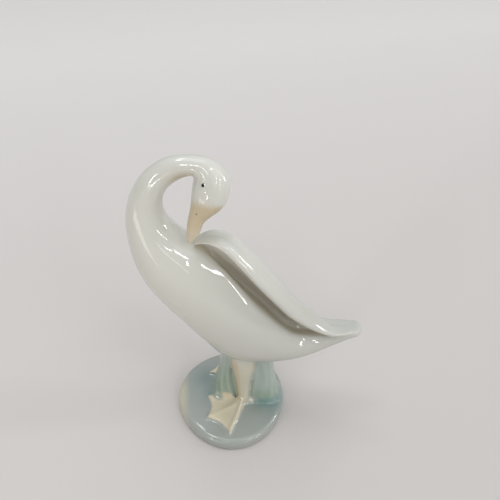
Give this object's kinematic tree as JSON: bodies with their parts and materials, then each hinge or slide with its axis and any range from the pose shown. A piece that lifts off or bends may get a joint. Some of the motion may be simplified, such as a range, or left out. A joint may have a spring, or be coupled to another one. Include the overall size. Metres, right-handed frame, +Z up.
{
  "type": "swan figurine",
  "caption": "Small glazed porcelain swan, preening with its neck curled over its back, standing on a low oval base between reeds.",
  "frame": {"origin": "centre of the oval base's underside", "axes": "+Z up; the bird's breast points along -X and its tail along +X; the seen side, with the raised wing, is -Y"},
  "size_m": [0.0863, 0.0493, 0.12],
  "materials": {
    "porcelain": "white porcelain under a clear glossy glaze, with beige bill, legs and feet and grey-green base and reeds painted under the glaze"
  },
  "bodies": {
    "root": {"swan_figurine": "porcelain"}
  },
  "joints": []
}
